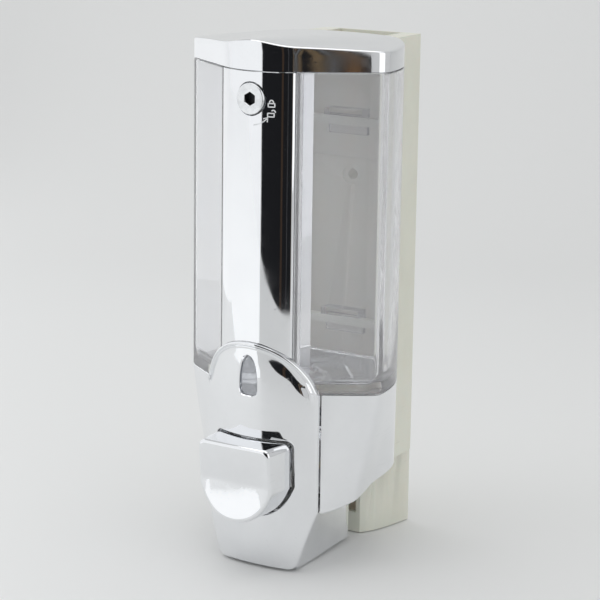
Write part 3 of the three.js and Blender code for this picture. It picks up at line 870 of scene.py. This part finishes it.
def makeWindow():
    outline = windowOutline(-windowShape["gap"])
    centre = windowShape["centre"]
    rings = [onFace(towards(outline, share, centre), push) for share, push in windowShape["depths"]]
    window = loftRings("windowLens", rings)
    smoothFaces(window, 40)
    finishPiece(window, "container", "clear_plastic", "windowPlastic", "sight_window")


makeWindow()


def dish(x, z):
    crease, depth = buttonShape["creaseZ"], buttonShape["dishDepth"]
    side = abs(x) / buttonShape["frontHalf"]
    if z > crease:
        share = min(1.0, (z - crease) / (buttonShape["top"] - crease))
        scoop = depth * (1 - share) ** 1.5
    else:
        share = min(1.0, (crease - z) / (crease - buttonShape["bottom"]))
        scoop = depth * (1 - share) * (1 + 0.25 * share)
    return buttonShape["front"] + 0.4 * side ** 2 + scoop * (1 - 0.35 * smoothStep(0.7, 1.0, side))


def narrowed(loop, share):  # the paddle is a little narrower at its front than in the slot
    scale = 1 - (1 - buttonShape["frontHalf"] / buttonShape["half"]) * share
    return [(x * scale, z) for x, z in loop]


def makeButton():
    centre = buttonShape["centre"]
    angles = anglesFor(168, centre, (buttonShape["half"], buttonShape["top"] - buttonShape["corner"]),
                       (buttonShape["half"] - buttonShape["corner"], buttonShape["top"]))
    outer = polarRing(buttonOutline(), centre, angles)
    inner = polarRing(buttonOutline(-buttonShape["wall"]), centre, angles)
    back, radius, floorY = buttonShape["back"], buttonShape["edgeRound"], buttonShape["front"] + 4.8
    rings = [[(x, floorY, z) for x, z in towards(inner, share, centre)] for share in (0.04, 0.6, 0.96)]
    rings += [
        [(x, floorY + 0.5, z) for x, z in narrowed(inner, 1)],
        [(x, back - 0.2, z) for x, z in inner],
        [(x, back, z) for x, z in towards(inner, 1.015, centre)],
        [(x, back, z) for x, z in towards(outer, 0.99, centre)],
        [(x, back - 0.2, z) for x, z in outer],
        [(x, back - 4, z) for x, z in outer],
    ]
    for step in range(7):
        angle = step / 6 * math.pi / 2
        loop = polarRing(buttonOutline(-radius * (1 - math.cos(angle))), centre, angles)
        rings.append([(x, dish(x, z) + radius * (1 - math.sin(angle)), z) for x, z in narrowed(loop, 1)])
    face = narrowed(polarRing(buttonOutline(-radius), centre, angles), 1)
    for share in (0.98, 0.95, 0.91, 0.86, 0.8, 0.73, 0.65, 0.56, 0.47, 0.38, 0.29, 0.2, 0.12, 0.05):
        rings.append([(x, dish(x, z), z) for x, z in towards(face, share, centre)])
    button = loftRings("buttonPaddle", rings)
    smoothFaces(button, 50)
    finishPiece(button, "button", "chrome_plating", "chromePlating", "push_button")


makeButton()
print("button made")


hullShape = {
    "top": 72.2, "frontY": -78.6, "wall": 2.0,
    "halves": [(22.0, 33.4), (29.5, 35.0), (37.9, 37.0), (46.3, 39.0), (56.2, 41.0), (61.8, 42.0),
               (72.2, 43.6), (82.0, 45.0)],  # height, half width
    "rearY": (-56.0, -36.0), "rearShare": 0.1, "openTo": -68.0, "gap": 0.3,
    "pumpSlot": (10.5, -72.0, -46.0, 50.0), "middle": (0, -50), "topHalf": 43.6,
    "under": [(-95, 24.0), (-74, 24.0), (-64, 28.6), (-53, 32.4), (-41, 36.2), (-22.5, 39.0),
              (0, 42.0)],  # depth, height of the underside
}


def between(table, value):
    for (a, low), (b, high) in zip(table, table[1:]):
        if value <= b:
            return low + (high - low) * max(0, (value - a) / (b - a))
    return table[-1][1]


def hullUnder(y):
    return sum(between(hullShape["under"], y + shift) for shift in (-4, -2, 0, 2, 4)) / 5


def hullSide(z):
    return sum(between(hullShape["halves"], z + shift) for shift in (-3, -1.5, 0, 1.5, 3)) / 5


def hullRing(loop, share, inset=0.0, lift=0.0):
    ring = []
    for x, y in loop:
        y = max(y, hullShape["frontY"] + inset)
        low = hullUnder(y) + lift
        z = low + (hullShape["top"] - low) * share
        if abs(x) > shield["half"]:
            scale = (hullSide(z) - shield["half"]) / (hullShape["topHalf"] - shield["half"])
            start, end = hullShape["rearY"]
            scale += (1 - scale) * smoothStep(start, end, y) * (1 - hullShape["rearShare"])
            x = math.copysign(shield["half"] + (abs(x) - shield["half"]) * scale, x)
        ring.append((x, y, z))
    return ring


def makeHull():
    inner = insetLoop(bodyLoop, hullShape["wall"])
    wall = hullShape["wall"]
    rings = []
    underEdge = [(x, y) for x, y, z in hullRing(bodyLoop, 0.0)]
    innerEdge = [(x, y) for x, y, z in hullRing(inner, 0.0, wall, wall)]

    def underRing(edge, share, lift=0.0):
        return [(x, y, hullUnder(y) + lift) for x, y in towards(edge, share, hullShape["middle"])]

    for share in (0.3, 0.6, 0.94):
        rings.append(underRing(underEdge, share))
    rings.append([(x, y, z + 0.1) for x, y, z in hullRing(insetLoop(bodyLoop, 0.35), 0.0)])
    rings.append(hullRing(bodyLoop, 0.012))
    for step in range(1, 20):
        rings.append(hullRing(bodyLoop, step / 20))
    rings += [
        hullRing(bodyLoop, 0.996),
        hullRing(insetLoop(bodyLoop, 0.25), 1.0),
        hullRing(insetLoop(bodyLoop, 1.8), 1.0),
    ]
    for share in (0.99, 0.8, 0.6, 0.4, 0.2, 0.03):
        rings.append(hullRing(inner, share, wall, wall))
    rings += [
        underRing(innerEdge, 0.94, wall),
        underRing(underEdge, 0.3, wall),
        rings[0],
    ]
    hull = loftRings("baseHull", rings, closedLoop=True)
    half = shield["half"] + hullShape["gap"]
    cutWith(hull, boxPiece("openFront", (-half, -100, -5), (half, hullShape["openTo"], 100)))
    half, front, back, top = hullShape["pumpSlot"]
    cutWith(hull, boxPiece("pumpSlot", (-half, front, -5), (half, back, top)))
    smoothFaces(hull, 24)
    finishPiece(hull, "container", "chrome_plating", "chromePlating", "base_housing")


noseShape = {
    "front": -79.6, "back": -36.0, "backHalf": 14.5, "wall": 1.8, "lowHalf": 17.0, "highHalf": 24.6,
    "height": 24, "buttonGap": 0.8, "pressRoom": 8.5,
}


def noseLoop(z, inset=0.0):
    spread = noseShape["highHalf"] - noseShape["lowHalf"]
    half = noseShape["lowHalf"] + spread * z / noseShape["height"] - inset
    front, back = noseShape["front"] + inset, noseShape["back"] - inset
    rear = noseShape["backHalf"] - inset
    corner = (half, front)
    points = [(0, front), (half * 0.5, front), (half - 1.6, front)]
    points += curvePoints((half - 0.8, front), corner, (half - 0.3, front + 0.8), 4)
    points.append((half - 0.6, front + 3.6))
    rearStart = (rear + 0.6, back - 2.2)
    points += linePoints(points[-1], rearStart, 10)
    points += curvePoints(rearStart, (rear, back), (rear - 2.5, back), 6)
    points += [(rear * 0.4, back), (0, back)]
    return mirrored(points)


def noseRing(share, inset=0.0, drop=0.0):
    ring = []
    height = noseShape["height"]
    for (x, y), (lowX, lowY) in zip(noseLoop(height, inset), noseLoop(0, inset)):
        low = drop + 1.5 * smoothStep(-79, -36, lowY)
        high = hullUnder(y) - 0.4
        if y > -50:
            high = min(high, 28 - (y + 50) * 0.9)
        z = low + (high - low) * share
        mix = min(1.0, z / height)
        ring.append((lowX + (x - lowX) * mix, lowY, z))
    return ring


def makeNose():
    levels = (0.01, 0.1, 0.25, 0.4, 0.55, 0.7, 0.85, 1.0)
    rings = [noseRing(0.0, 0.3)] + [noseRing(share) for share in levels]
    rings += [noseRing(share, noseShape["wall"]) for share in reversed(levels)]
    rings += [noseRing(0.0, noseShape["wall"] - 0.3), noseRing(0.0, 0.3)]
    nose = loftRings("noseShell", rings, closedLoop=True)
    outline = buttonOutline(noseShape["buttonGap"])
    roomBack = buttonShape["back"] + noseShape["pressRoom"]
    room = [[(x, level, z) for x, z in outline] for level in (-95.0, roomBack)]
    cutWith(nose, loftRings("buttonRoom", room))
    smoothFaces(nose, 35)
    finishPiece(nose, "container", "chrome_plating", "chromePlating", "nozzle_shroud")


makeHull()
makeNose()
print("base made")


def makeBracket():
    bracket = benchCopy("wall_bracket", "bracketBody")
    bevelEdges(bracket, 0.5, 3, 30)
    smoothFaces(bracket, 32)
    finishPiece(bracket, "bracket", "ivory_plastic", "ivoryPlastic", "wall_bracket")


lockShape = {
    "z": 186.0, "faceY": -90.35, "socketRadius": 2.9, "markLift": 0.06, "markWidth": 0.45,
    "closedAt": (8.5, 184.7), "openAt": (8.3, 181.0), "markSize": 1.2, "arcRadius": 9.9,
    "arc": (-82, -45, 4), "arrowHead": ((-1.5, -0.1), (0.3, 0.5), (0.1, -1.3)),
}


def makeLock():
    plug = benchCopy("lock_plug", "lockBarrel")
    bevelEdges(plug, 0.3, 3, 40)
    smoothFaces(plug, 32)
    finishPiece(plug, "lock", "lock_metal", "lockMetal", "lock_plug")
    # faces sunk behind the lock's front inside the key socket get the painted shade
    plug.data.materials.append(materials["socketPaintedShade"])
    for polygon in plug.data.polygons:
        x, y, z = (value / bench["unit"] for value in polygon.center)
        reach = math.hypot(x, z - bench["footZ"] / bench["unit"] - lockShape["z"])
        if reach < lockShape["socketRadius"] and y > lockShape["faceY"] + 0.35:
            polygon.material_index = 1


def bulgePoint(x, z):
    radius = plan["bulgeRadius"] + lockShape["markLift"]
    return (x, plan["bulgeY"] - math.sqrt(radius ** 2 - x ** 2), z)


def markStroke(name, points, width, closed=False):  # a flat ribbon laid on the round front
    left, right = [], []
    count = len(points)
    for index, (x, z) in enumerate(points):
        before = points[index - 1] if closed or index else points[index]
        after = points[(index + 1) % count] if closed or index + 1 < count else points[index]
        along = (Vector(after) - Vector(before)).normalized()
        across = Vector((-along.y, along.x)) * width / 2
        left.append((x + across.x, z + across.y))
        right.append((x - across.x, z - across.y))
    outline = left + right[::-1]
    rings = [[bulgePoint(x, z) for x, z in outline],
             [(x, bulgePoint(x, z)[1] + 0.03, z) for x, z in outline]]
    return loftRings(name, rings)


def padlockMark(name, place, openShackle):
    size = lockShape["markSize"]
    x, z = place
    width = lockShape["markWidth"]
    left, right, low = x - size, x + size, z - size * 1.1
    body = [(left, z), (right, z), (right, low), (left, low), (left, z)]
    dense = []
    for start, end in zip(body, body[1:]):
        dense += linePoints(start, end, 4, 0)
    strokes = [markStroke(name, dense + [body[0]], width)]
    shift, sweep = (size * 0.75, math.pi * 0.8) if openShackle else (0, math.pi)
    arch = []
    for step in range(11):
        angle = sweep * step / 10
        archX = x + shift + size * 0.62 * math.cos(angle)
        arch.append((archX, z + size * (0.25 + 0.75 * math.sin(angle))))
    strokes.append(markStroke(name + "Shackle", arch, width))
    return joinPieces(*strokes)


def makeMarks():
    closed = padlockMark("markClosed", lockShape["closedAt"], False)
    opened = padlockMark("markOpen", lockShape["openAt"], True)
    radius = lockShape["arcRadius"]
    width = lockShape["markWidth"]
    turns = [math.radians(degrees) for degrees in range(*lockShape["arc"])]
    arc = [(radius * math.cos(turn), lockShape["z"] + radius * math.sin(turn)) for turn in turns]
    sweep = markStroke("markArc", arc, width)
    tipX, tipZ = arc[-1]
    tip = [(tipX + x, tipZ + z) for x, z in lockShape["arrowHead"]]
    head = markStroke("markHead", tip, width)
    marks = joinPieces(closed, opened, sweep, head)
    marks.name = "lockMarks"
    finishPiece(marks, "container", "white_plastic", "printWhite")


makeBracket()
makeLock()
makeMarks()
print("bracket and lock made")


keptLooks = {
    "brightSteel": ("lock_cam", "lock_cam_screw", "hinge_pin", "lid_catch_screw", "cover_screw_right",
                    "cover_screw_left", "inlet_ball", "plunger_rod", "return_spring"),
    "whitePlastic": ("lid_catch", "tank_clamp_nut", "pump_body", "gland_cap", "inlet_seat", "pump_piston",
                     "outlet_nozzle"),
    "softSilicone": ("tank_gasket", "piston_seal", "outlet_valve"),
}
for look, nodes in keptLooks.items():  # these CAD pieces stay as they are
    for node in nodes:
        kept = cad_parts[node]
        kept.data.materials.clear()
        kept.data.materials.append(materials[look])
print("inner pieces given their finish")

studio = {
    "facing": 32.2, "floorFront": -0.53, "floorBack": 0.95, "wallHeight": 0.9, "bend": 0.45, "half": 1.5,
    "floorColour": (0.80, 0.805, 0.80, 1), "roomLight": (0.58, 0.585, 0.59, 1),
    "darkFrom": -12.0, "darkTo": 40.1, "darkReach": 1.9, "floorGap": 0.0004,
    "darkColour": (0.008, 0.0085, 0.011, 1),
    "boards": ((22.0, 3.2, (0.055, 0.034, 0.022, 1)), (31.0, 1.0, (0.07, 0.07, 0.075, 1)),
               (38.1, 0.40, (0.20, 0.14, 0.08, 1)), (38.6, 0.25, (0.20, 0.21, 0.22, 1)),
               (39.25, 0.45, (0.20, 0.11, 0.05, 1))),  # azimuth, width, colour
    "cards": (("leftCard", (-0.056, -0.345), (-0.46, -0.22), 0.55, 0.41, (0.965, 0.98, 1.0)),
              ("sideCard", (-0.46, -0.22), (-0.60, 0.36), 0.55, 0.40, (0.97, 0.98, 1.0)),
              ("rightCard", (0.70, -0.70), (1.05, 0.10), 0.85, 0.62, (1, 1, 1))),
    "topLight": {"side": 1.3, "radiance": 0.95, "area": 1.69, "place": (-0.1, -0.12, 1.15)},
}


def studioTurn():  # turns the sweep so that it lies square to the camera
    return Matrix.Rotation(math.radians(studio["facing"]), 4, "Z")


def plainMaterial(name, colour, roughness=0.6):
    material = bpy.data.materials.new(name)
    material.use_nodes = True
    shader = material.node_tree.nodes["Principled BSDF"]
    shader.inputs["Base Color"].default_value = colour
    shader.inputs["Roughness"].default_value = roughness
    shader.inputs["Specular IOR Level"].default_value = 0.3
    return material


def makeStage():
    deselectAll()
    bpy.ops.mesh.primitive_plane_add(size=1)
    floor = bpy.context.object
    floor.name = "seamlessFloor"
    steps = 16
    front, back, bend = studio["floorFront"], studio["floorBack"], studio["bend"]
    profile = [(front, 0.0), (back - bend, 0.0)]
    for step in range(1, steps + 1):
        angle = math.pi / 2 * step / steps
        profile.append((back - bend + bend * math.sin(angle), bend * (1 - math.cos(angle))))
    profile.append((back, studio["wallHeight"]))
    mesh = bmesh.new()
    rows = []
    for y, z in profile:
        level = z + bench["footZ"] - studio["floorGap"]
        rows.append([mesh.verts.new((side * studio["half"], y, level)) for side in (-1, 1)])
    for (a, b), (c, d) in zip(rows, rows[1:]):
        mesh.faces.new((a, b, d, c))
    mesh.transform(studioTurn())
    mesh.to_mesh(floor.data)
    mesh.free()
    for polygon in floor.data.polygons:
        polygon.use_smooth = True
    floor.data.materials.append(plainMaterial("paperFloor", studio["floorColour"], 0.55))


def softCard(name, start, end, height, radiance, colour):
    start, end = Vector((*start, 0)), Vector((*end, 0))
    along = (end - start).normalized()
    towardsObject = Vector((-along.y, along.x, 0))
    middle = (start + end) / 2
    if towardsObject.dot(Vector((0, -0.05, 0)) - middle) < 0:
        along, towardsObject = -along, -towardsObject
    data = bpy.data.lights.new(name, "AREA")
    data.shape = "RECTANGLE"
    data.size, data.size_y = (end - start).length, height
    data.energy = radiance * math.pi * data.size * data.size_y
    data.color = colour
    light = addObject(name, data)
    up = Vector((0, 0, 1))
    turn = Matrix((up.cross(-towardsObject), up, -towardsObject)).transposed().to_4x4()
    middle.z = bench["footZ"] + height / 2
    light.matrix_world = Matrix.Translation(middle) @ turn


def uprightBoard(name, azimuth, width, reach, low, high, colour):  # stands square to the object
    middle, half = math.radians(azimuth), math.radians(width / 2)
    span = reach * math.tan(half)
    outward = Vector((math.sin(middle), -math.cos(middle), 0))
    across = Vector((math.cos(middle), math.sin(middle), 0))
    centre = outward * reach + Vector((0, -0.06, 0))
    deselectAll()
    bpy.ops.mesh.primitive_plane_add(size=1)
    board = bpy.context.object
    board.name = name
    corners = [centre - across * span, centre + across * span]
    levels = [low + bench["footZ"], high + bench["footZ"]]
    places = [(0, 0), (1, 0), (0, 1), (1, 1)]  # the order of the plane's own corners
    for vertex, (side, level) in zip(board.data.vertices, places):
        vertex.co = Vector((corners[side].x, corners[side].y, levels[level]))
    board.data.materials.append(plainMaterial(name, colour, 0.9))
    board.visible_camera = board.visible_diffuse = board.visible_shadow = False


def makeRoom():
    middle = (studio["darkFrom"] + studio["darkTo"]) / 2
    width = studio["darkTo"] - studio["darkFrom"]
    reach = studio["darkReach"]
    uprightBoard("darkRoom", middle, width, reach, -2.5, 1.3, studio["darkColour"])
    for number, (azimuth, size, colour) in enumerate(studio["boards"]):
        uprightBoard(f"roomBoard{number}", azimuth, size, reach - 0.1, -1.0, 0.9, colour)


def makeLights():
    for card in studio["cards"]:
        softCard(*card)
    top = studio["topLight"]
    data = bpy.data.lights.new("topSoftbox", "AREA")
    data.shape = "RECTANGLE"
    data.size, data.size_y = top["side"], top["side"]
    data.energy = top["radiance"] * math.pi * top["area"]
    addObject("topSoftbox", data).location = top["place"]
    world = bpy.data.worlds.new("studioRoom")
    world.use_nodes = True
    world.node_tree.nodes["Background"].inputs["Color"].default_value = studio["roomLight"]
    scene.world = world


view = {
    "lens": 126.5, "sensor": 36, "azimuth": 32.2, "pitch": 12.7, "roll": 0.79,
    "place": (0.4359, -0.7458, 0.2863),
}


def makeCamera():
    data = bpy.data.cameras.new("viewCamera")
    data.sensor_width = view["sensor"]
    data.lens = view["lens"]
    data.clip_start, data.clip_end = 0.01, 20
    camera = addObject("viewCamera", data)
    azimuth, pitch, roll = (math.radians(view[name]) for name in ("azimuth", "pitch", "roll"))
    level = math.cos(pitch)
    forward = Vector((-math.sin(azimuth) * level, math.cos(azimuth) * level, -math.sin(pitch)))
    right = Vector((math.cos(azimuth), math.sin(azimuth), 0))
    up = right.cross(forward)
    turnedRight = right * math.cos(roll) + up * math.sin(roll)
    turnedUp = up * math.cos(roll) - right * math.sin(roll)
    turn = Matrix((turnedRight, turnedUp, -forward)).transposed().to_4x4()
    x, y, z = view["place"]
    camera.matrix_world = Matrix.Translation((x, y, z + bench["footZ"])) @ turn
    scene.camera = camera


makeStage()
makeRoom()
makeLights()
makeCamera()
scene.view_settings.view_transform = "Standard"
scene.view_settings.look = "None"
print("studio made")
